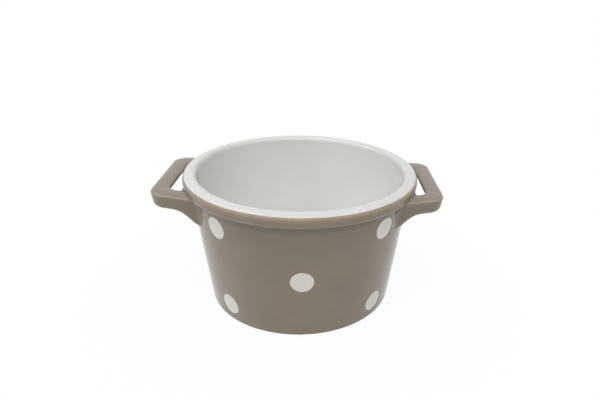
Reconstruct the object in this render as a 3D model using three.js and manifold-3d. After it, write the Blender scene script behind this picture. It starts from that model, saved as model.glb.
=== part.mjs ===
// A small glazed stoneware baking pot with two loop handles, for one oven portion.
// Millimetres, +Z up. The origin is the middle of the foot ring, on the surface the pot stands on.
// The handles lie along X. The pot is modelled as it is made: a turned clay shell, two handles luted on
// with slip, a white glaze inside and over the lip, a taupe glaze outside, and white dots let into it.
import * as THREE from "three";
import { mergeVertices } from "three/addons/utils/BufferGeometryUtils.js";
import Module from "manifold-3d";

const wasm = await Module();
wasm.setup();

// Pot, over the glaze
const RIM_RADIUS = 52.5;
const POT_HEIGHT = 60.2;
const BASE_RADIUS = 43;
const WALL_LIP = 3.5; // wall thickness, level, at the lip's height
const WALL_LOW = 5; // and at the standing surface
const FLOOR = 5.2;

// Collar, the band that stands out round the top of the wall
const COLLAR_HEIGHT = 4.9;
const COLLAR_PROUD = 2.9;

// Rounded edges of the clay, before glazing
const LIP_OUTER_ROUND = 1.3;
const LIP_INNER_ROUND = 1.3;
const COLLAR_EDGE_ROUND = 0.4;
const COLLAR_COVE = 1.9;
const FLOOR_COVE = 8;
const FOOT_ROUND = 0.9;

// Foot ring, left bare so that the pot doesn't stick in the kiln
const FOOT_WIDTH = 4.2;
const FOOT_HEIGHT = 1.3;
const FOOT_BARE_HEIGHT = 0.4;

// Coats and joints
const GLAZE = 0.5;
const BOND = 0.3; // clearance between a coat and what it covers
const SLIP = 0.6;
const SEAM_ANGLE = Math.PI / 6; // round the lip's outer edge, from its side, where white meets taupe
const ROOT_RUN = 8; // the loop is drawn on past its root by this much, to be cut by the wall

// Handle loop, over the glaze
const FINGER_GAP = 2.6; // collar to the loop's bar, seen from above
const BAR_WIDTH = 7.6;
const BAR_THICKNESS = 6.9;
const ARM_WIDTH = 8.2;
const LOOP_HALF_LENGTH = 23.4; // at the outer face
const ARM_SPLAY = 0.16; // widening of the loop towards the wall, per millimetre
const LOOP_CORNER = 6.3;
const SLOT_CORNER = 3;
const SLOT_FLARE = 3.2; // the slot is this much wider at its lower end, on each side
const OUTER_LEAN = 0.15; // the loop's outer side leans in by this much per millimetre downwards
const HANDLE_TUCK = 0.4; // the handle's root is this much under the collar
const HANDLE_RISE = 1.2; // root to the loop's outer face
const BRACKET_DROP = 6.3; // the arms' underside sweeps down by this much at the root
const BRACKET_POWER = 1.7; // the higher, the nearer to the wall the sweep is steepest
const HANDLE_EDGE_ROUND = 0.6; // of the clay, before glazing

// White dots in three rows; angles run from the front, towards +X
const DOT_RADIUS = 4.9;
const MIDDLE_DOTS = 4;
const DOT_PHASE = THREE.MathUtils.degToRad(1.8);
const MIDDLE_DOT_TURN = THREE.MathUtils.degToRad(0.6); // of the middle row, against the upper one
const LOWER_DOT_TURN = THREE.MathUtils.degToRad(1.3); // of the lower row, against the upper one
const UPPER_DOT_SPREAD = THREE.MathUtils.degToRad(44.4); // upper dots flank the front by this much
const LOWER_DOT_SPREAD = THREE.MathUtils.degToRad(45.3);
const DOT_BELOW_COLLAR = 8.4; // collar to the middle of an upper dot
const DOT_ABOVE_FOOT = 8.3; // standing surface to the middle of a lower dot
const MIDDLE_DOT_LIFT = 1; // above half way between the other two rows

// Fineness of the facets
const ROUND_SEGMENTS = 48;
const ARC_STEPS = 3;
const ARM_STEPS = 6;
const EDGE_STEPS = 2;
const DOT_SIDES = 28;

const COVER = BOND + GLAZE;
const COLLAR_UNDERSIDE = POT_HEIGHT - COLLAR_HEIGHT;
const WALL_TOP_RADIUS = RIM_RADIUS - COLLAR_PROUD;
const WALL_SLOPE = (WALL_TOP_RADIUS - BASE_RADIUS) / COLLAR_UNDERSIDE;
const INNER_SLOPE = WALL_SLOPE + (WALL_LOW - WALL_LIP) / POT_HEIGHT;
const LIP_ROUND = LIP_OUTER_ROUND + COVER; // over the glaze
const HANDLE_REACH = RIM_RADIUS + FINGER_GAP + BAR_WIDTH; // pot axis to the loop's outer face
const ROOT_X = WALL_TOP_RADIUS * Math.cos(rootAngle(WALL_TOP_RADIUS));
const TOUCH = 1e-3; // points closer than this are one

const clay = new THREE.MeshStandardMaterial({ color: 0xe6ddd0, roughness: 0.85 });
const taupe = new THREE.MeshStandardMaterial({ color: 0x94887a, roughness: 0.22 });
const white = new THREE.MeshStandardMaterial({ color: 0xe9e7e3, roughness: 0.18 });

function wallRadius(height) {
  return BASE_RADIUS + WALL_SLOPE * height;
}

// Angle about the pot's axis, from the handle's middle, at which an arm's outer side meets a radius
function rootAngle(radius) {
  const squareToArm = Math.atan2(1, ARM_SPLAY);
  const armFromAxis = (LOOP_HALF_LENGTH + ARM_SPLAY * HANDLE_REACH) * Math.sin(squareToArm);
  return squareToArm - Math.acos(armFromAxis / radius);
}

// A line through corners [radius, height, rounding], each rounded by an arc that touches both its sides
function roundedLine(corners) {
  const points = [];
  corners.forEach(([x, y, rounding], i) => {
    const corner = new THREE.Vector2(x, y);
    if (!rounding) {
      points.push(corner);
      return;
    }
    const back = new THREE.Vector2(...corners[i - 1]).sub(corner).normalize();
    const on = new THREE.Vector2(...corners[i + 1]).sub(corner).normalize();
    const half = Math.acos(back.dot(on)) / 2;
    const middle = back.clone().add(on).normalize();
    const centre = corner.clone().addScaledVector(middle, rounding / Math.sin(half));
    const start = corner.clone().addScaledVector(back, rounding / Math.tan(half)).sub(centre).angle();
    const end = corner.clone().addScaledVector(on, rounding / Math.tan(half)).sub(centre).angle();
    const clockwise = back.cross(on) > 0;
    const arc = new THREE.ArcCurve(centre.x, centre.y, rounding, start, end, clockwise);
    points.push(...arc.getPoints(ARC_STEPS));
  });
  return points;
}

// The lip's outer edge between two angles, 0 at its side and a quarter turn at the crest
function lipArc(out, from, to) {
  const arc = new THREE.ArcCurve(
    RIM_RADIUS - LIP_ROUND, POT_HEIGHT - LIP_ROUND, LIP_ROUND + out, from, to, false,
  );
  return arc.getPoints(ARC_STEPS);
}

// The outside of the pot from the bare foot to the white seam, moved outwards by a distance
function outsideLine(out, seam = SEAM_ANGLE) {
  const foot = FOOT_BARE_HEIGHT;
  const convex = COVER + out;
  const rim = RIM_RADIUS + out;
  const under = COLLAR_UNDERSIDE - out;
  const across = out * Math.hypot(1, WALL_SLOPE);
  const side = roundedLine([
    [wallRadius(foot) + across, foot],
    [wallRadius(under) + across, under, COLLAR_COVE - convex],
    [rim, under, COLLAR_EDGE_ROUND + convex],
    [rim, POT_HEIGHT - LIP_ROUND],
  ]);
  return [...side, ...lipArc(out, 0, seam)];
}

// The lip and the inside of the pot, from the white seam to the middle of the floor
function insideLine(out) {
  const convex = COVER + out;
  const crest = POT_HEIGHT + out;
  const across = WALL_LOW + out * Math.hypot(1, INNER_SLOPE);
  const floor = FLOOR + out;
  const inner = (height) => BASE_RADIUS + INNER_SLOPE * height - across;
  const inside = roundedLine([
    [RIM_RADIUS - LIP_ROUND, crest],
    [inner(crest), crest, LIP_INNER_ROUND + convex],
    [inner(floor), floor, FLOOR_COVE - convex],
    [0, floor],
  ]);
  return [...lipArc(out, SEAM_ANGLE, Math.PI / 2), ...inside];
}

// A solid turned about the pot's axis from a closed line of points
function turned(points) {
  const closed = points.filter((p, i) => i === 0 || p.distanceTo(points[i - 1]) > TOUCH);
  const onAxis = closed[0].x < TOUCH && closed[closed.length - 1].x < TOUCH;
  if (!onAxis) closed.push(closed[0].clone());
  const geometry = new THREE.LatheGeometry(closed, ROUND_SEGMENTS);
  return toSolid(geometry.rotateX(Math.PI / 2));
}

function toSolid(geometry) {
  const bare = geometry.clone();
  bare.deleteAttribute("normal");
  bare.deleteAttribute("uv");
  const merged = mergeVertices(bare, TOUCH);
  const index = merged.index.array;
  const kept = [];
  for (let i = 0; i < index.length; i += 3) {
    const [a, b, c] = index.slice(i, i + 3);
    if (a !== b && b !== c && c !== a) kept.push(a, b, c);
  }
  const mesh = new wasm.Mesh({
    numProp: 3,
    vertProperties: merged.attributes.position.array,
    triVerts: new Uint32Array(kept),
  });
  return new wasm.Manifold(mesh);
}

function toGeometry(solid) {
  const mesh = solid.getMesh();
  const geometry = new THREE.BufferGeometry();
  geometry.setAttribute("position", new THREE.BufferAttribute(mesh.vertProperties, 3));
  geometry.setIndex(new THREE.BufferAttribute(mesh.triVerts, 1));
  geometry.computeVertexNormals();
  return geometry;
}

// Everything within the pot's outside, grown by a distance, as one filled form
function filledPot(out) {
  const side = outsideLine(out);
  const top = POT_HEIGHT + COVER;
  const wall = side[side.length - 1];
  return turned([
    new THREE.Vector2(0, -COVER),
    new THREE.Vector2(side[0].x, -COVER),
    ...side,
    new THREE.Vector2(wall.x, top),
    new THREE.Vector2(0, top),
  ]);
}

function clayShell() {
  const footOuter = wallRadius(0) - COVER;
  const footInner = footOuter - FOOT_WIDTH;
  const ceiling = FOOT_HEIGHT + COVER;
  const wall = outsideLine(-COVER).slice(1);
  const foot = roundedLine([
    [0, ceiling],
    [footInner, ceiling],
    [footInner, 0],
    [footOuter, 0, FOOT_ROUND],
    wall[0].toArray(),
  ]);
  return turned([...foot, ...wall, ...insideLine(-COVER)]);
}

function whiteCoat() {
  const skin = insideLine(0);
  const back = insideLine(-GLAZE).reverse();
  return turned([...back, ...skin]);
}

function taupeCoat() {
  const below = SEAM_ANGLE - BOND / (LIP_ROUND - GLAZE);
  const skin = outsideLine(0, below);
  const back = outsideLine(-GLAZE, below).reverse();
  return turned([...skin, ...back]);
}

function undersideCoat() {
  const radius = wallRadius(0) - COVER - FOOT_WIDTH - BOND;
  return turned([
    new THREE.Vector2(0, FOOT_HEIGHT),
    new THREE.Vector2(radius, FOOT_HEIGHT),
    new THREE.Vector2(radius, FOOT_HEIGHT + GLAZE),
    new THREE.Vector2(0, FOOT_HEIGHT + GLAZE),
  ]);
}

// Plan of the handle loop: pairs of points on its outer and slot sides, from one root round to the other
function loopPlan(inset) {
  const slant = Math.hypot(1, ARM_SPLAY);
  const outerX = HANDLE_REACH - inset;
  const innerX = HANDLE_REACH - BAR_WIDTH + inset;
  const outerY = (x) => LOOP_HALF_LENGTH - inset * slant + ARM_SPLAY * (HANDLE_REACH - x);
  const innerY = (x) => outerY(x) - ARM_WIDTH * slant + 2 * inset * slant;
  const outerRound = LOOP_CORNER - inset;
  const innerRound = SLOT_CORNER + inset;
  const cornerAt = (x, round, line) => [x - round, line(x - round) - round * slant];
  const [ox, oy] = cornerAt(outerX, outerRound, outerY);
  const [ix, iy] = cornerAt(innerX, innerRound, innerY);
  const turn = Math.atan2(1, ARM_SPLAY);
  const armEnd = ox + outerRound * Math.cos(turn);
  const slotEnd = ix + innerRound * Math.cos(turn);
  const rootX = ROOT_X - ROOT_RUN;
  const half = [];
  for (let i = 0; i < ARM_STEPS; i++) {
    const t = i / ARM_STEPS;
    const outer = THREE.MathUtils.lerp(rootX, armEnd, t);
    const slot = THREE.MathUtils.lerp(rootX, slotEnd, t);
    half.push([new THREE.Vector2(outer, outerY(outer)), new THREE.Vector2(slot, innerY(slot))]);
  }
  for (let i = 0; i <= ARC_STEPS; i++) {
    const angle = turn * (1 - i / ARC_STEPS);
    const way = new THREE.Vector2(Math.cos(angle), Math.sin(angle));
    const outer = new THREE.Vector2(ox, oy).addScaledVector(way, outerRound);
    const slot = new THREE.Vector2(ix, iy).addScaledVector(way, innerRound);
    half.push([outer, slot]);
  }
  const flip = (p) => new THREE.Vector2(p.x, -p.y);
  const otherHalf = half.map(([a, b]) => [flip(a), flip(b)]).reverse();
  return [...half, ...otherHalf];
}

// Height of the handle's top and underside at a distance from the pot's axis
function handleTop(x) {
  const share = (x - ROOT_X) / (HANDLE_REACH - ROOT_X);
  return COLLAR_UNDERSIDE - HANDLE_TUCK + HANDLE_RISE * share;
}

function handleUnderside(x) {
  const start = HANDLE_REACH - BAR_WIDTH;
  const share = THREE.MathUtils.clamp((start - x) / (start - ROOT_X), 0, 1);
  const sweep = Math.sin((Math.PI / 2) * share ** BRACKET_POWER) ** 2;
  return handleTop(x) - BAR_THICKNESS - BRACKET_DROP * sweep;
}

// One section of the loop, with rounded edges: both its sides lean together from the top down
function section([outer, slot], inset) {
  const width = outer.distanceTo(slot);
  const round = HANDLE_EDGE_ROUND + COVER - inset;
  const top = (x) => handleTop(x) - inset - round;
  const bottom = (x) => handleUnderside(x) + inset + round;
  const lean = OUTER_LEAN * (handleTop(outer.x) - handleUnderside(outer.x));
  const corners = [
    [width - round, top],
    [round, top],
    [round + SLOT_FLARE, bottom],
    [width - round - lean, bottom],
  ];
  return corners.flatMap(([across, height], quarter) =>
    Array.from({ length: EDGE_STEPS + 1 }, (_, i) => {
      const angle = (quarter + i / EDGE_STEPS) * (Math.PI / 2);
      const plan = slot.clone().lerp(outer, (across + round * Math.cos(angle)) / width);
      return new THREE.Vector3(plan.x, plan.y, height(plan.x) + round * Math.sin(angle));
    }),
  );
}

// The loop as a closed solid whose roots run on into the wall
function loopSolid(inset) {
  const rings = loopPlan(inset).map((pair) => section(pair, inset));
  const size = rings[0].length;
  const positions = rings.flat().flatMap((p) => p.toArray());
  const index = [];
  for (let i = 0; i + 1 < rings.length; i++) {
    for (let j = 0; j < size; j++) {
      const a = i * size + j;
      const b = i * size + ((j + 1) % size);
      index.push(a, b, a + size, b, b + size, a + size);
    }
  }
  const last = (rings.length - 1) * size;
  for (let j = 1; j + 1 < size; j++) {
    index.push(0, j + 1, j);
    index.push(last, last + j, last + j + 1);
  }
  const geometry = new THREE.BufferGeometry();
  geometry.setAttribute("position", new THREE.Float32BufferAttribute(positions, 3));
  geometry.setIndex(index);
  return toSolid(geometry);
}

// The two sides of the pot's middle plane, to part a loop's front root from its back root
function sideBlock(side) {
  const size = 2 * HANDLE_REACH;
  const geometry = new THREE.BoxGeometry(size, size, size);
  return toSolid(geometry.translate(size / 2, (side * size) / 2, POT_HEIGHT / 2));
}

// The rows of dots: pairs that flank the front and the back, clear of the handles, and a ring between
function dotRows() {
  const upper = COLLAR_UNDERSIDE - DOT_BELOW_COLLAR;
  const step = (2 * Math.PI) / MIDDLE_DOTS;
  const ring = Array.from({ length: MIDDLE_DOTS }, (_, i) => DOT_PHASE + MIDDLE_DOT_TURN + i * step);
  const flanks = (phase, spread) =>
    [0, Math.PI].flatMap((turn) => [-1, 1].map((side) => phase + turn + side * spread));
  return [
    { name: "upper", height: upper, angles: flanks(DOT_PHASE, UPPER_DOT_SPREAD) },
    { name: "middle", height: (upper + DOT_ABOVE_FOOT) / 2 + MIDDLE_DOT_LIFT, angles: ring },
    {
      name: "lower",
      height: DOT_ABOVE_FOOT,
      angles: flanks(DOT_PHASE + LOWER_DOT_TURN, LOWER_DOT_SPREAD),
    },
  ];
}

// A bar through the wall at a dot's place, facing the front
function dotBar(row, radius) {
  const geometry = new THREE.CylinderGeometry(radius, radius, 2 * WALL_LOW, DOT_SIDES);
  return toSolid(geometry.translate(0, -wallRadius(row.height), row.height));
}

function part(name, solid, material) {
  const mesh = new THREE.Mesh(toGeometry(solid), material.clone());
  mesh.name = name;
  return mesh;
}

const pot = new THREE.Group();
pot.add(part("clay_body", clayShell(), clay));
pot.add(part("inner_white_glaze", whiteCoat(), white));
pot.add(part("underside_glaze", undersideCoat(), taupe));

// Handles, their slip joints and their coats: one set for +X, turned half round for -X
const coatedLoop = loopSolid(0);
const coatLining = loopSolid(GLAZE);
const clayLoop = loopSolid(COVER);
const slipInside = filledPot(-GLAZE);
const slipOutside = filledPot(-GLAZE + SLIP);
const handleSeat = filledPot(-GLAZE + SLIP + BOND);
const handleClay = clayLoop.subtract(handleSeat);
const handleCoat = coatedLoop.subtract(coatLining).subtract(filledPot(BOND));
const slipLayer = clayLoop.intersect(slipOutside.subtract(slipInside));
for (const [side, turn] of [
  ["right", 0],
  ["left", Math.PI],
]) {
  const handle = new THREE.Group();
  handle.rotation.z = turn;
  handle.add(part(`${side}_handle`, handleClay, clay));
  handle.add(part(`${side}_handle_glaze`, handleCoat, taupe));
  const ends = side === "right" ? { front: -1, back: 1 } : { front: 1, back: -1 };
  for (const [end, way] of Object.entries(ends)) {
    handle.add(part(`${side}_${end}_slip_joint`, slipLayer.intersect(sideBlock(way)), clay));
  }
  pot.add(handle);
}

// The taupe coat, open where the handles are luted on and where the dots are let in
const wholeCoat = taupeCoat();
let openCoat = wholeCoat.subtract(coatLining).subtract(coatLining.rotate([0, 0, 180]));
for (const row of dotRows()) {
  const dot = wholeCoat.intersect(dotBar(row, DOT_RADIUS));
  const opening = dotBar(row, DOT_RADIUS + BOND);
  row.angles.forEach((angle, i) => {
    openCoat = openCoat.subtract(opening.rotate([0, 0, THREE.MathUtils.radToDeg(angle)]));
    const mesh = part(`${row.name}_dot_${i + 1}`, dot, white);
    mesh.rotation.z = angle;
    pot.add(mesh);
  });
}
pot.add(part("outer_taupe_glaze", openCoat, taupe));

export default pot;
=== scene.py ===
import functools
import itertools
import math
import random

import bpy
import numpy as np
from mathutils import Matrix, Vector


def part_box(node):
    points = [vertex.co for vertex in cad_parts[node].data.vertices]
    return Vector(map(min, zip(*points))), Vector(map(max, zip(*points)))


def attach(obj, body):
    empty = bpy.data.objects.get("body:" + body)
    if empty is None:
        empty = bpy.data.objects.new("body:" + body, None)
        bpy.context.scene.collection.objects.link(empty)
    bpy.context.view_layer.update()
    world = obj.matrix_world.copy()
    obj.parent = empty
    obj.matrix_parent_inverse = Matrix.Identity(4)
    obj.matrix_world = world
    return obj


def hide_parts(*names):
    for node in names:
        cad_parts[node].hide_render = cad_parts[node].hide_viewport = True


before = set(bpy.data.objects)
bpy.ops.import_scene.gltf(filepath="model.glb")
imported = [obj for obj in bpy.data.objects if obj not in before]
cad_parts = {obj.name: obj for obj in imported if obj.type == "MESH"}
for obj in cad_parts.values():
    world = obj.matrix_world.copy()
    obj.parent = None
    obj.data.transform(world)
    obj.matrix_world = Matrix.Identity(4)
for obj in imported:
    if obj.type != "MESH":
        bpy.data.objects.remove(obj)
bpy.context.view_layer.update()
mm = 0.001
print("frame loaded,", len(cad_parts), "solids")

# what the solids say about the pot, in millimetres
linerLow, linerHigh = (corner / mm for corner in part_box("inner_white_glaze"))
coatLow, coatHigh = (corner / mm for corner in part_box("outer_taupe_glaze"))
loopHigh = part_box("right_handle_glaze")[1] / mm

pot = {
    "rim": coatHigh.x,            # radius over the collar
    "height": linerHigh.z,
    "foot": 43.0,                 # radius of the wall carried down to the table
    "wallLip": 3.5,               # thickness at the lip's height, and at the table
    "wallLow": 5.0,
    "floor": linerLow.z + 0.5,
    "collarHeight": 4.9,
    "collarProud": 2.9,
    "lipDrop": 0.15,              # the lip's top rises from this far below the pot's height
    "lipRise": 0.9,               # by this much, to where it would meet the inner wall
    "seamStep": 5,                # of nine round the lip's outer edge, from its side
    "lipEdge": 2.1,               # roundings, all over the glaze
    "lipInside": 2.0,
    "collarEdge": 0.9,
    "cove": 1.8,
    "footEdge": 0.4,
    "floorCove": 8.0,
    "glaze": 0.45,
    "glazeLine": 0.15,            # the coat stops this far above the table
    "footRing": 4.4,
    "recess": coatLow.z + 0.7,    # underside hollow within the foot ring
    "breakBand": 0.4,             # the taupe breaks brown this far down from the seam
    "breakFade": 1.8,
    "collarEdgeBreakAndHighlight": 0.5,             # and thin, painted lighter as a highlight, this far up from the collar's lower edge
    "collarEdgeBreakAndHighlightShare": 0.55,            # where it breaks and is painted lighter by this share only
    "paintedShade": 4.4,                  # painted shade: the wall is painted darker this far down from the collar, as shade under it
    "paintedShadeStart": 0.4,             # the painted shade comes in over this, and goes out over the next
    "paintedShadeFade": 1.4,
    "ringFillet": 0.6,            # roundings of the foot ring's inner side
    "ringEdge": 0.4,
    "ringFlat": 2.5,              # its flat starts this far in from the wall
    "discGap": 0.35,              # between the underside's glaze and the ring
    "discEdge": 0.2,
    "discClear": 0.05,            # between it and the clay
    "turns": 240,
}
collarUnder = pot["height"] - pot["collarHeight"]
wallTop = pot["rim"] - pot["collarProud"]
wallSlope = (wallTop - pot["foot"]) / collarUnder
innerSlope = wallSlope + (pot["wallLow"] - pot["wallLip"]) / pot["height"]


def wallAt(z):
    return pot["foot"] + wallSlope * z


def innerAt(z):
    return pot["foot"] - pot["wallLow"] + innerSlope * z


# corners are (radius, height, rounding); round ones become arcs that touch both sides
def roundedLine(corners, steps=9):
    line = []
    for i, corner in enumerate(corners):
        here = Vector(corner[:2])
        rounding = corner[2] if len(corner) > 2 else 0
        if not rounding:
            line.append(here)
            continue
        back = (Vector(corners[i - 1][:2]) - here).normalized()
        on = (Vector(corners[i + 1][:2]) - here).normalized()
        half = back.angle(on) / 2
        centre = here + (back + on).normalized() * (rounding / math.sin(half))
        start = here + back * (rounding / math.tan(half)) - centre
        end = here + on * (rounding / math.tan(half)) - centre
        sweep = start.angle_signed(end)
        for k in range(steps + 1):
            turn = Matrix.Rotation(-sweep * k / steps, 2)
            line.append(centre + turn @ start)
    return line


# long straight stretches get points of their own, so the glaze's colour can change along them
def evenedLine(line, most=0.5):
    out = [line[0]]
    for a, b in zip(line, line[1:]):
        count = max(1, math.ceil((b - a).length / most))
        out += [a.lerp(b, k / count) for k in range(1, count + 1)]
    return out


# both lines hold the whole of the lip's outer rounding, and meet at the seam part way round it
lipLevel = pot["height"] - pot["lipDrop"]
lipOuter = (pot["rim"], lipLevel, pot["lipEdge"])
lipInner = (innerAt(lipLevel), lipLevel + pot["lipRise"], pot["lipInside"])
lipRound = roundedLine([(pot["rim"], collarUnder), lipOuter, lipInner[:2]])
seamHeight = lipRound[1 + pot["seamStep"]].y


def outsideLine():
    line = roundedLine([
        (pot["foot"] - pot["footRing"], 0),
        (pot["foot"], 0, pot["footEdge"]),
        (wallAt(collarUnder), collarUnder, pot["cove"]),
        (pot["rim"], collarUnder, pot["collarEdge"]),
        lipOuter,
        lipInner[:2],
    ])
    return evenedLine([p for p in line if p.y < seamHeight + 1e-4])


def insideLine():
    line = roundedLine([
        (pot["rim"], collarUnder),
        lipOuter,
        lipInner,
        (innerAt(pot["floor"]), pot["floor"], pot["floorCove"]),
        (0, pot["floor"]),
    ])
    seam = next(i for i, p in enumerate(line) if p.y > seamHeight - 1e-4)
    return evenedLine(line[seam:])


def movedLine(line, distance):       # parallel line, to the left of its run when positive
    out = []
    for i, here in enumerate(line):
        run = (line[min(i + 1, len(line) - 1)] - line[max(i - 1, 0)]).normalized()
        out.append(here + Vector((-run.y, run.x)) * distance)
    return out


def bendOf(line, reach=2):           # how sharply the line turns at each point, per millimetre
    out = []
    for i in range(len(line)):
        a, b, c = (line[min(max(i + k, 0), len(line) - 1)] for k in (-reach, 0, reach))
        if (b - a).length < 1e-6 or (c - b).length < 1e-6:
            out.append(0.0)
            continue
        out.append((b - a).angle_signed(c - b) / ((c - a).length / 2))
    return out


def newPiece(name, points, faces, material, nodes):
    mesh = bpy.data.meshes.new(name)
    mesh.from_pydata([tuple(p) for p in points], [], faces)
    mesh.validate()
    mesh.shade_smooth()
    piece = bpy.data.objects.new(name, mesh)
    bpy.context.scene.collection.objects.link(piece)
    mesh.materials.append(material)
    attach(piece, "root")
    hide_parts(*nodes)
    return piece


def markBreakAndPaintedLight(piece, amounts):        # up to 1 where the glaze runs thin, on some edges with a painted highlight, and down to -1 for painted shade
    layer = piece.data.attributes.new("glazeBreakAndPaintedLight", "FLOAT", "POINT")
    layer.data.foreach_set("value", amounts)


def thinOver(line, gain):            # thin where the line bends outwards
    return [min(max(-bend * gain, 0), 1) for bend in bendOf(line)]


# a closed line turned about the pot's axis
def turnedPiece(name, line, thinness, material, node):
    points, faces, thin, rows = [], [], [], []
    turns = pot["turns"]
    for p, amount in zip(line, thinness):
        start = len(points)
        if p.x < 1e-6:
            points.append(Vector((0, 0, p.y)) * mm)
            thin.append(amount)
            rows.append([start] * turns)
            continue
        for k in range(turns):
            angle = 2 * math.pi * k / turns
            points.append(Vector((p.x * math.cos(angle), p.x * math.sin(angle), p.y)) * mm)
            thin.append(amount)
        rows.append(list(range(start, start + turns)))
    onAxis = line[0].x < 1e-6 and line[-1].x < 1e-6
    pairs = zip(rows, rows[1:]) if onAxis else zip(rows, rows[1:] + rows[:1])
    for low, high in pairs:
        for k in range(turns):
            loop = [low[k], low[(k + 1) % turns], high[(k + 1) % turns], high[k]]
            faces.append(list(dict.fromkeys(loop)))
    piece = newPiece(name, points, faces, material, [node])
    markBreakAndPaintedLight(piece, thin)


# small helpers for the node materials
def nodesFor(name):
    material = bpy.data.materials.new(name)
    material.use_nodes = True
    tree = material.node_tree
    tree.nodes.clear()
    out = tree.nodes.new("ShaderNodeOutputMaterial")
    shader = tree.nodes.new("ShaderNodeBsdfPrincipled")
    tree.links.new(shader.outputs[0], out.inputs[0])
    place = tree.nodes.new("ShaderNodeTexCoord").outputs["Object"]
    return material, tree, shader, place


def noiseOf(tree, place, scale, detail=3.0, rough=0.5):
    node = tree.nodes.new("ShaderNodeTexNoise")
    node.inputs["Scale"].default_value = scale
    node.inputs["Detail"].default_value = detail
    node.inputs["Roughness"].default_value = rough
    tree.links.new(place, node.inputs["Vector"])
    return node.outputs["Fac"]


def spread(tree, value, low, high, toLow, toHigh):
    node = tree.nodes.new("ShaderNodeMapRange")
    for socket, number in zip(("From Min", "From Max", "To Min", "To Max"), (low, high, toLow, toHigh)):
        node.inputs[socket].default_value = number
    tree.links.new(value, node.inputs["Value"])
    return node.outputs["Result"]


def mixedColour(tree, factor, first, second):
    node = tree.nodes.new("ShaderNodeMix")
    node.data_type = "RGBA"
    tree.links.new(factor, node.inputs["Factor"])
    for socket, value in zip((node.inputs["A"], node.inputs["B"]), (first, second)):
        if isinstance(value, tuple):
            socket.default_value = (*value, 1)
        else:
            tree.links.new(value, socket)
    return node.outputs["Result"]


def bumped(tree, height, strength, distance):
    node = tree.nodes.new("ShaderNodeBump")
    node.inputs["Strength"].default_value = strength
    node.inputs["Distance"].default_value = distance
    tree.links.new(height, node.inputs["Height"])
    return node.outputs["Normal"]


def linear(red, green, blue):        # screen colour, 0 to 255, as the shader wants it
    def one(value):
        value /= 255
        return value / 12.92 if value <= 0.04045 else ((value + 0.055) / 1.055) ** 2.4
    return one(red), one(green), one(blue)


def breakAndPaintedLightOf(tree):                # what markBreakAndPaintedLight has put on the mesh
    node = tree.nodes.new("ShaderNodeAttribute")
    node.attribute_name = "glazeBreakAndPaintedLight"
    return node.outputs["Fac"]


def addGloss(tree, shader, place, finish):            # uneven sheen and a faint ripple
    patches = noiseOf(tree, place, finish["sheenPatches"], 3)
    tree.links.new(spread(tree, patches, 0.3, 0.7, *finish["sheen"]), shader.inputs["Roughness"])
    ripples = noiseOf(tree, place, finish["ripples"], 2)
    tree.links.new(bumped(tree, ripples, *finish["ripple"]), shader.inputs["Normal"])
    shader.inputs["IOR"].default_value = finish["bend"]


taupe = {
    "body": linear(141, 129, 112),
    "deep": linear(136, 124, 107),
    # the thin glaze's colour, also painted on the collar's lower edge and the loops' top edges as a
    # highlight
    "thin": linear(172, 151, 129),
    # painted shade for the wall under the collar
    "paintedShade": linear(130, 119, 103),
    "speck": linear(112, 99, 85),
    "clouds": 55,                 # noise scales, per metre
    "breaks": 220,
    "specks": 2100,
    "sheenPatches": 160,
    "ripples": 420,
    "sheen": (0.11, 0.17),        # least and most roughness
    "ripple": (0.12, 0.00006),    # strength, and height in metres
    "bend": 1.52,                 # refractive index
}


def taupeGlaze():
    material, tree, shader, place = nodesFor("taupeGlaze")
    cloud = spread(tree, noiseOf(tree, place, taupe["clouds"], 4), 0.35, 0.65, 0, 1)
    colour = mixedColour(tree, cloud, taupe["deep"], taupe["body"])
    thin = breakAndPaintedLightOf(tree)
    uneven = tree.nodes.new("ShaderNodeMath")
    uneven.operation = "MULTIPLY"
    tree.links.new(thin, uneven.inputs[0])
    breaks = noiseOf(tree, place, taupe["breaks"], 3)
    tree.links.new(spread(tree, breaks, 0.3, 0.7, 0.55, 1.0), uneven.inputs[1])
    # thin glaze, partly a painted highlight on edges
    colour = mixedColour(tree, uneven.outputs[0], colour, taupe["thin"])
    # painted shade where the attribute is negative, below the collar
    colour = mixedColour(tree, spread(tree, thin, -1, 0, 1, 0), colour, taupe["paintedShade"])
    specks = spread(tree, noiseOf(tree, place, taupe["specks"], 2), 0.68, 0.76, 0, 0.45)
    colour = mixedColour(tree, specks, colour, taupe["speck"])
    tree.links.new(colour, shader.inputs["Base Color"])
    addGloss(tree, shader, place, taupe)
    return material


white = {
    "body": linear(236, 235, 233),
    "deep": linear(232, 231, 229),
    "thin": linear(233, 229, 222),
    "lipThin": 0.4,               # how strongly the lip's roundings thin it
    "clouds": 45,
    "sheenPatches": 170,
    "ripples": 380,
    "sheen": (0.05, 0.08),
    "ripple": (0.1, 0.00005),
    "bend": 1.52,
}


def whiteGlaze():
    material, tree, shader, place = nodesFor("whiteGlaze")
    cloud = spread(tree, noiseOf(tree, place, white["clouds"], 4), 0.35, 0.65, 0, 1)
    colour = mixedColour(tree, cloud, white["deep"], white["body"])
    colour = mixedColour(tree, breakAndPaintedLightOf(tree), colour, white["thin"])
    tree.links.new(colour, shader.inputs["Base Color"])
    addGloss(tree, shader, place, white)
    return material


clay = {
    "body": linear(222, 210, 192),
    "deep": linear(203, 188, 166),
    "speck": linear(150, 128, 104),
    "clouds": 70,
    "grain": 900,
    "sheen": (0.72, 0.9),
    "ripple": (0.5, 0.00015),
}


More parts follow.
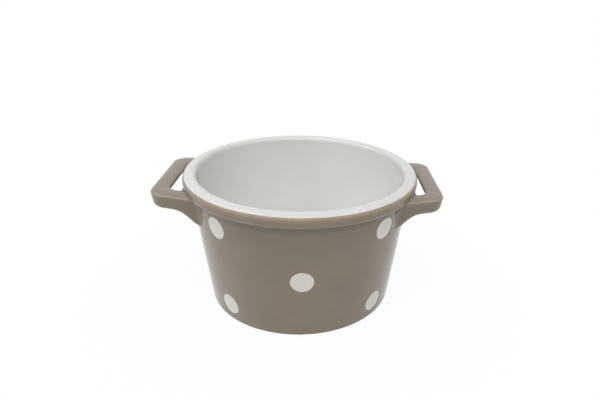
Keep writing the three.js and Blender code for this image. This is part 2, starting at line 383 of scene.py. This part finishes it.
def bareClay():
    material, tree, shader, place = nodesFor("bareStoneware")
    grain = noiseOf(tree, place, clay["grain"], 5, 0.65)
    cloud = spread(tree, noiseOf(tree, place, clay["clouds"], 4), 0.3, 0.7, 0, 1)
    colour = mixedColour(tree, cloud, clay["deep"], clay["body"])
    colour = mixedColour(tree, spread(tree, grain, 0.62, 0.72, 0, 0.6), colour, clay["speck"])
    tree.links.new(colour, shader.inputs["Base Color"])
    tree.links.new(spread(tree, grain, 0.3, 0.7, *clay["sheen"]), shader.inputs["Roughness"])
    tree.links.new(bumped(tree, grain, *clay["ripple"]), shader.inputs["Normal"])
    return material


taupeSkin, whiteSkin, claySkin = taupeGlaze(), whiteGlaze(), bareClay()
print("glazes and clay mixed")


# a coat is its skin line, and back along a line one glaze thickness in
def coatPiece(name, line, thinness, material, node):
    back = movedLine(line, pot["glaze"])
    turnedPiece(name, line + back[::-1], thinness + [0.0] * len(back), material, node)


# the outer glaze runs thin below the seam, runs thin with a painted highlight on the collar's lower
# edge, and is painted darker as shade below the collar
def breakAndPaintedLightAt(z):
    start = seamHeight - pot["breakBand"]
    upper = min(max(1 - (start - z) / pot["breakFade"], 0), 1)
    # thin glaze and a painted highlight along the collar's lower edge
    edge = pot["collarEdgeBreakAndHighlight"]
    lower = pot["collarEdgeBreakAndHighlightShare"] * max(1 - abs(z - collarUnder - edge) / edge, 0)
    # painted shade: darker below the collar's edge, where the collar shades the wall
    down = collarUnder - z
    shadeComesIn = min(max(down / pot["paintedShadeStart"], 0), 1)
    shadeGoesOut = min(max((pot["paintedShade"] - down) / pot["paintedShadeFade"], 0), 1)
    return max(upper, lower) - shadeGoesOut * shadeComesIn


def makePot():
    outside, inside = outsideLine(), insideLine()
    skin = [p for p in outside if p.y > pot["glazeLine"]]
    breakAndPaintedLight, thin = [breakAndPaintedLightAt(p.y) for p in skin], thinOver(inside, white["lipThin"])
    coatPiece("outerTaupeGlaze", skin, breakAndPaintedLight, taupeSkin, "outer_taupe_glaze")
    coatPiece("innerWhiteGlaze", inside, thin, whiteSkin, "inner_white_glaze")

    ceiling = pot["recess"] + pot["glaze"]
    ring = pot["foot"] - pot["footRing"]
    under = roundedLine([(0, ceiling), (ring, ceiling, pot["ringFillet"]), (ring, 0, pot["ringEdge"]),
                         (pot["foot"] - pot["ringFlat"], 0)], 4)
    # the foot's flat is in the line above, so the rest leaves it out
    core = movedLine([p for p in outside if p.x > ring + 1] + inside[1:], pot["glaze"])
    line = under + [p for p in core if p.y > 0.02]
    turnedPiece("stonewareBody", line, [0.0] * len(line), claySkin, "clay_body")

    radius = ring - pot["discGap"]
    disc = roundedLine([(0, pot["recess"]), (radius, pot["recess"], pot["discEdge"]),
                        (radius, ceiling - pot["discClear"]), (0, ceiling - pot["discClear"])], 4)
    turnedPiece("undersideGlaze", disc, [0.0] * len(disc), taupeSkin, "underside_glaze")


makePot()
print("pot turned and glazed")


handle = {
    "reach": loopHigh.x,
    "outBy": {"right": -0.5, "left": 0.5},   # the loops aren't luted on quite alike
    "bar": 7.6,                   # width of the loop's bar, seen from above
    "thick": 7.0,
    "arm": 8.2,
    "halfLength": 23.4,
    "splay": 0.16,
    "corner": 6.3,
    "slotCorner": 3.0,
    "slotFlare": 4.2,             # the slot is this much wider at its lower end
    "slotLip": 1.2,               # below an upright stretch this high
    "lean": 0.15,                 # the outer side leans in by this much per millimetre downwards
    "crown": 0.4,                 # the top swells by this much between its edges
    "tuck": 0.4,
    "rise": 1.2,
    "bracketDrop": 6.4,
    "bracketPower": 1.7,
    "topEdge": 1.0,
    "underEdge": 2.0,
    "slotFillet": 2.0,            # where the arms run into the wall inside the slot
    "fillet": 1.2,                # and outside it
    "paler": 0.15,                # the glaze is a little thin all over the top
    "topEdgeBreakAndHighlight": 1.4,              # and thin, painted lighter as a highlight, this far from the outer top edge
    "edgeFade": 0.8,
    "root": 1.6,                  # how far the root goes into the wall
    "rootEdge": 0.7,
    "sink": 0.004,                # the skin lies this far under the wall's, past the fillets
    "wallFrom": 25,               # the wall below this height is far from any handle
    "coat": 0.8,                  # from the glaze's skin to the clay
    "clayGap": 0.1,               # from the wall to the clay
    "blend": 0.6,                 # the wall's glaze colour, its painted shade included, fades out this far from the wall
    "mesh": 0.45,
    "coreMesh": 0.6,
}
slant = math.hypot(1, handle["splay"])
slotHalf = handle["halfLength"] + handle["splay"] * handle["bar"] - handle["arm"] * slant
barInside = handle["reach"] - handle["bar"]
armAway = math.atan2(1, handle["splay"])
armFromAxis = (handle["halfLength"] + handle["splay"] * handle["reach"]) * math.sin(armAway)
rootX = wallTop * math.cos(armAway - math.acos(armFromAxis / wallTop))
topTilt = handle["rise"] / (handle["reach"] - rootX)


def handleTop(x):
    return collarUnder - handle["tuck"] + topTilt * (x - rootX)


def roundedPair(a, b, rounding):     # inside of two sides, with a round corner between them
    a, b = a + rounding, b + rounding
    outer = np.hypot(np.maximum(a, 0), np.maximum(b, 0))
    return outer + np.minimum(np.maximum(a, b), 0) - rounding


def filleted(a, b, rounding):        # two forms joined with a hollow rounding
    u, v = np.maximum(rounding - a, 0), np.maximum(rounding - b, 0)
    return np.maximum(rounding, np.minimum(a, b)) - np.hypot(u, v)


outsideRun = np.array([tuple(p) for p in outsideLine() if p.y > handle["wallFrom"]])


def wallField(x, y, z):              # distance from the pot's outside, negative in the clay
    shape = x.shape
    spot = np.stack([np.hypot(x, y).ravel(), z.ravel()], 1)
    best = np.full(len(spot), 1e9)
    side = np.ones(len(spot))
    for a, b in zip(outsideRun, outsideRun[1:]):
        run = b - a
        share = np.clip(((spot - a) @ run) / (run @ run), 0, 1)
        off = spot - a - share[:, None] * run
        far = np.hypot(off[:, 0], off[:, 1])
        nearer = far < best - 1e-9
        best[nearer] = far[nearer]
        side[nearer] = np.where(run[1] * off[nearer, 0] - run[0] * off[nearer, 1] < 0, -1, 1)
    return (best * side).reshape(shape)


def outerSide(x, y, z):              # the loop's outer side, as if it had no slot
    h = handle
    arms = (np.abs(y) - h["halfLength"] - h["splay"] * (h["reach"] - x)) / slant
    return roundedPair(x - h["reach"], arms, h["corner"]) + h["lean"] * np.maximum(handleTop(x) - z, 0)


def loopField(x, y, z):              # the loop itself, before it meets the wall
    h = handle
    top = handleTop(x)
    share = np.clip((barInside - x) / (barInside - rootX), 0, 1)
    sweep = math.pi / 2 * share ** h["bracketPower"]
    under = top - h["thick"] - h["bracketDrop"] * np.sin(sweep) ** 2
    rate = math.pi / 2 * h["bracketPower"] * share ** (h["bracketPower"] - 1) / (barInside - rootX)
    steep = h["bracketDrop"] * np.sin(2 * sweep) * rate
    arms = (np.abs(y) - slotHalf - h["splay"] * (barInside - x)) / slant
    flare = h["slotFlare"] * np.clip((top - h["slotLip"] - z) / (top - h["slotLip"] - under), 0, 1)
    slot = roundedPair(x - barInside, arms, h["slotCorner"]) - flare
    plan = np.maximum(outerSide(x, y, z), -slot)
    swell = h["crown"] * np.clip(1 + 2 * plan / h["bar"], 0, 1) ** 2
    above = roundedPair(plan, z - top + swell, h["topEdge"])
    below = roundedPair(plan, (under - z) / np.hypot(1, steep), h["underEdge"])
    return np.maximum(above, below)


def handleField(x, y, z, out):
    wall, loop = wallField(x, y, z), loopField(x - out, y, z)
    within = np.clip(slotHalf + handle["arm"] / 2 - np.abs(y), 0, 1)
    hollow = handle["fillet"] + (handle["slotFillet"] - handle["fillet"]) * within
    joined = filleted(wall, loop, hollow) + handle["sink"]
    soft = handle["rootEdge"]
    rooted = roundedPair(joined, -(wall + handle["root"]), soft)
    return roundedPair(rooted, loop - handle["slotFillet"] - soft, soft)


def coreField(x, y, z, out):         # the clay in the loop, under its glaze and up to the wall
    loop = loopField(x - out, y, z) + handle["coat"]
    return roundedPair(loop, handle["clayGap"] - wallField(x, y, z), handle["rootEdge"])


# four neighbours that are in and out crosswise all go in, so no edge of the skin has four faces
def untied(inside):
    for axis in (0, 1, 2) * 3:
        flat = np.moveaxis(inside, axis, 2)
        a, b, c, d = flat[:-1, :-1], flat[1:, :-1], flat[:-1, 1:], flat[1:, 1:]
        tied = (a == d) & (b == c) & (a != b)
        for corner in (a, b, c, d):
            corner |= tied
    return inside


# a closed skin of four-sided faces where a field passes through zero
def skinOf(field, low, high, step):
    x, y, z = np.meshgrid(*(np.arange(a, b, step) for a, b in zip(low, high)), indexing="ij")
    inside = untied(field(x, y, z) < 0)
    count = [n - 1 for n in inside.shape]
    full = np.zeros(count, int)
    for i, j, k in itertools.product((0, 1), repeat=3):
        full += inside[i:i + count[0], j:j + count[1], k:k + count[2]]
    crossed = (full > 0) & (full < 8)
    number = np.full(count, -1)
    number[crossed] = np.arange(crossed.sum())
    points = np.array(low) + (np.argwhere(crossed) + 0.5) * step
    faces = []
    for axis in range(3):
        b, c = (axis + 1) % 3, (axis + 2) % 3
        lower = np.take(inside, range(count[axis]), axis)
        upper = np.take(inside, range(1, count[axis] + 1), axis)
        for edge in np.argwhere(lower != upper):
            corners = []
            for db, dc in ((-1, -1), (0, -1), (0, 0), (-1, 0)):
                cell = edge.copy()
                cell[b] += db
                cell[c] += dc
                corners.append(number[tuple(cell)])
            faces.append(corners if lower[tuple(edge)] else corners[::-1])
    return points, faces


def slopeOf(field, points, step=0.02):
    out = np.zeros_like(points)
    for axis in range(3):
        move = np.zeros(3)
        move[axis] = step
        out[:, axis] = (field(*(points + move).T) - field(*(points - move).T)) / (2 * step)
    return out


def settled(field, points, rounds=4, most=0.3):       # each point drops onto the skin
    for _ in range(rounds):
        slope = slopeOf(field, points)
        steps = field(*points.T)[:, None] * slope / np.maximum((slope ** 2).sum(1), 0.05)[:, None]
        length = np.linalg.norm(steps, axis=1, keepdims=True)
        points = points - steps * np.minimum(1, most / np.maximum(length, 1e-9))
    return points


# the glaze runs thin along the loop's outer top edge, with a painted highlight there, and where it
# meets the wall it goes on as there, painted shade under the collar included
def breakAndPaintedLightOnHandle(points, out):
    x, y, z = points.T
    away = np.hypot(outerSide(x - out, y, z), z - handleTop(x - out))
    onTop = np.clip(1 - np.abs(z - handleTop(x - out)), 0, 1)
    # thin glaze and a painted highlight along the outer top edge
    onEdge = (handle["topEdgeBreakAndHighlight"] - away) / handle["edgeFade"]
    onLoop = np.clip(np.maximum(onEdge, handle["paler"] * onTop), 0, 1)
    onWall = np.clip(1 - wallField(x, y, z) / handle["blend"], 0, 1)
    return onLoop + (np.array([breakAndPaintedLightAt(height) for height in z]) - onLoop) * onWall


# the fields are of the right handle, in a box with room for its root; the left one is turned half round
def makeHandles():
    low = (rootX - 8, -handle["halfLength"] - 12, collarUnder - handle["bracketDrop"] - 14)
    high = (handle["reach"] + 1.5, handle["halfLength"] + 12, pot["height"] + 1)
    for name, turn in (("right", 1), ("left", -1)):
        out = handle["outBy"][name]
        field = functools.partial(handleField, out=out)
        points, faces = skinOf(field, low, high, handle["mesh"])
        points = settled(field, points)
        placed = points * (turn, turn, 1) * mm
        glaze = name + "_handle_glaze"
        piece = newPiece(name + "HandleGlaze", placed, faces, taupeSkin, [glaze])
        markBreakAndPaintedLight(piece, breakAndPaintedLightOnHandle(points, out))

        field = functools.partial(coreField, out=out)
        points, faces = skinOf(field, low, high, handle["coreMesh"])
        placed = settled(field, points) * (turn, turn, 1) * mm
        newPiece(name + "HandleClay", placed, faces, claySkin, [name + "_handle"])


makeHandles()
print("handles drawn out of the wall")


dots = {
    "radius": 4.9,
    "ragged": 0.02,               # the edge wanders by this share of the radius
    "lift": 0.05,
    "letIn": 0.01,
    "fall": 8,                    # power by which the lift falls off to the edge
    "depth": 0.3,
    "rings": 10,
    "spokes": 56,
    "seed": 11,
}


# a dot lies on the wall, a hair proud in the middle and let in at its edge
def makeDot(node, chance):
    low, high = (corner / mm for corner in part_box(node))
    middle = (low + high) / 2
    aim, height = math.atan2(middle.y, middle.x), middle.z
    waves = [(chance.uniform(-1, 1), chance.uniform(0, 2 * math.pi)) for _ in range(4)]
    points, faces = [], []

    def put(share, angle, lift):
        uneven = sum(a * math.sin((k + 2) * angle + b) / (k + 2) for k, (a, b) in enumerate(waves))
        reach = dots["radius"] * share * (1 + dots["ragged"] * uneven)
        z = height + reach * math.sin(angle)
        radius = wallAt(z) + lift
        around = aim + reach * math.cos(angle) / wallAt(z)
        points.append(Vector((radius * math.cos(around), radius * math.sin(around), z)) * mm)

    spokes, rings = dots["spokes"], dots["rings"]
    shares = [math.sin(math.pi / 2 * k / rings) for k in range(1, rings + 1)]
    for bottom in (False, True):
        put(0, 0, -dots["depth"] if bottom else dots["lift"])
        for share in shares:
            edge = share ** dots["fall"]
            rim = dots["lift"] * (1 - edge) - dots["letIn"] * edge
            for k in range(spokes):
                put(share, 2 * math.pi * k / spokes, -dots["depth"] if bottom else rim)
    layer = 1 + rings * spokes
    for start, order in ((0, 1), (layer, -1)):
        for k in range(spokes):
            on = (k + 1) % spokes
            faces.append([start, start + 1 + k, start + 1 + on][::order])
            for ring in range(rings - 1):
                a = start + 1 + ring * spokes
                faces.append([a + k, a + spokes + k, a + spokes + on, a + on][::order])
    last = 1 + (rings - 1) * spokes
    for k in range(spokes):
        on = (k + 1) % spokes
        faces.append([last + k, layer + last + k, layer + last + on, last + on])
    words = node.split("_")
    piece = newPiece(words[0] + "Dot" + words[2], points, faces, whiteSkin, [node])
    markBreakAndPaintedLight(piece, [1.0] * len(points))


chance = random.Random(dots["seed"])
for node in sorted(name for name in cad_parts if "_dot_" in name):
    makeDot(node, chance)
print("dots let in")

# the slip joints keep their solids, out of sight under the handles' glaze
for node in (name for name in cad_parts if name.endswith("slip_joint")):
    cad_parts[node].data.materials.clear()
    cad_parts[node].data.materials.append(claySkin)

view = {
    "lens": 29.71,
    "sensor": 36,
    "away": 232.5,                # millimetres from the aim point
    "lift": 23.8,                 # degrees above level
    "turn": -3.4,                 # degrees round the pot
    "roll": 2.52,
    "aim": (20.82, 0, 45.0),      # millimetres, before the turn
    "slide": -0.0772,             # lens shift: the photograph's middle lies left of the lens's axis
}


def makeCamera():
    camera = bpy.data.objects.new("camera", bpy.data.cameras.new("camera"))
    bpy.context.scene.collection.objects.link(camera)
    camera.data.lens = view["lens"]
    camera.data.sensor_width = view["sensor"]
    camera.data.shift_x = view["slide"]
    camera.data.clip_start = 0.01
    turn = Matrix.Rotation(math.radians(view["turn"]), 4, "Z")
    aim = Matrix.Translation(Vector(view["aim"]) * mm)
    lean = Matrix.Rotation(math.radians(90 - view["lift"]), 4, "X")
    back = Matrix.Translation((0, 0, view["away"] * mm))
    roll = Matrix.Rotation(math.radians(view["roll"]), 4, "Z")
    camera.matrix_world = turn @ aim @ lean @ back @ roll
    bpy.context.scene.camera = camera


makeCamera()

stage = {
    "floor": 6.0,                 # metres
    "under": 0.02,                # millimetres from the foot down to the floor
    "pale": linear(246, 245, 243),
    "lit": 0.95,                  # share of the floor's own light by the pot
    "fade": (0.05, 0.13),         # metres from the pot's axis over which that share goes to all
    "sky": 0.06,                  # the world's light on matt surfaces
}


def seenRays(tree):                  # camera, mirror and glass rays
    path = tree.nodes.new("ShaderNodeLightPath")
    first = tree.nodes.new("ShaderNodeMath")
    second = tree.nodes.new("ShaderNodeMath")
    first.operation = second.operation = "MAXIMUM"
    tree.links.new(path.outputs["Is Camera Ray"], first.inputs[0])
    tree.links.new(path.outputs["Is Glossy Ray"], first.inputs[1])
    tree.links.new(first.outputs[0], second.inputs[0])
    tree.links.new(path.outputs["Is Transmission Ray"], second.inputs[1])
    return second.outputs[0]


def makeFloor():
    half = stage["floor"] / 2
    mesh = bpy.data.meshes.new("floor")
    corners = [(-half, -half, 0), (half, -half, 0), (half, half, 0), (-half, half, 0)]
    mesh.from_pydata(corners, [], [(0, 1, 2, 3)])
    floor = bpy.data.objects.new("floor", mesh)
    bpy.context.scene.collection.objects.link(floor)
    floor.location.z = -stage["under"] * mm
    material = bpy.data.materials.new("paleFloor")
    material.use_nodes = True
    tree = material.node_tree
    tree.nodes.clear()
    out = tree.nodes.new("ShaderNodeOutputMaterial")
    matt = tree.nodes.new("ShaderNodeBsdfDiffuse")
    matt.inputs["Color"].default_value = (*stage["pale"], 1)
    bright = tree.nodes.new("ShaderNodeEmission")
    mostlyLit = tree.nodes.new("ShaderNodeMixShader")
    far = tree.nodes.new("ShaderNodeVectorMath")
    far.operation = "LENGTH"
    tree.links.new(tree.nodes.new("ShaderNodeTexCoord").outputs["Object"], far.inputs[0])
    share = spread(tree, far.outputs["Value"], *stage["fade"], stage["lit"], 1)
    tree.links.new(share, mostlyLit.inputs[0])
    tree.links.new(matt.outputs[0], mostlyLit.inputs[1])
    tree.links.new(bright.outputs[0], mostlyLit.inputs[2])
    chosen = tree.nodes.new("ShaderNodeMixShader")
    tree.links.new(seenRays(tree), chosen.inputs[0])
    tree.links.new(matt.outputs[0], chosen.inputs[1])
    tree.links.new(mostlyLit.outputs[0], chosen.inputs[2])
    tree.links.new(chosen.outputs[0], out.inputs[0])
    mesh.materials.append(material)


def makeSky():
    world = bpy.data.worlds.new("studio")
    world.use_nodes = True
    tree = world.node_tree
    tree.nodes.clear()
    out = tree.nodes.new("ShaderNodeOutputWorld")
    light = tree.nodes.new("ShaderNodeBackground")
    light.inputs["Strength"].default_value = stage["sky"]
    seen = tree.nodes.new("ShaderNodeBackground")
    for node in (light, seen):
        node.inputs["Color"].default_value = (1, 1, 1, 1)
    chosen = tree.nodes.new("ShaderNodeMixShader")
    tree.links.new(seenRays(tree), chosen.inputs[0])
    tree.links.new(light.outputs[0], chosen.inputs[1])
    tree.links.new(seen.outputs[0], chosen.inputs[2])
    tree.links.new(chosen.outputs[0], out.inputs[0])
    bpy.context.scene.world = world


lampAim = Vector((0, 0, 0.03))
# place in metres, size in metres, power in watts
lamps = {
    "frontPanel": {"at": (-0.10, -0.75, 0.85), "size": 1.0, "power": 4.15},
    "leftPanel": {"at": (-0.75, -0.15, 0.85), "size": 1.0, "power": 4.4},
    "rightPanel": {"at": (0.70, -0.30, 0.85), "size": 1.0, "power": 3.6},
    "frontSpot": {"at": (-0.065, -0.37, 0.96), "size": 0.09, "power": 1.2},
    "leftSpot": {"at": (-0.68, 0.09, 0.76), "size": 0.09, "power": 0.8},
}


def makeLamps():
    for name, lamp in lamps.items():
        light = bpy.data.lights.new(name, "AREA")
        light.size = lamp["size"]
        light.energy = lamp["power"]
        lampObject = bpy.data.objects.new(name, light)
        bpy.context.scene.collection.objects.link(lampObject)
        lampObject.location = lamp["at"]
        aim = lampAim - Vector(lamp["at"])
        lampObject.rotation_euler = aim.to_track_quat("-Z", "Y").to_euler()


makeFloor()
makeSky()
makeLamps()
bpy.context.scene.view_settings.view_transform = "Standard"
print("stage lit")
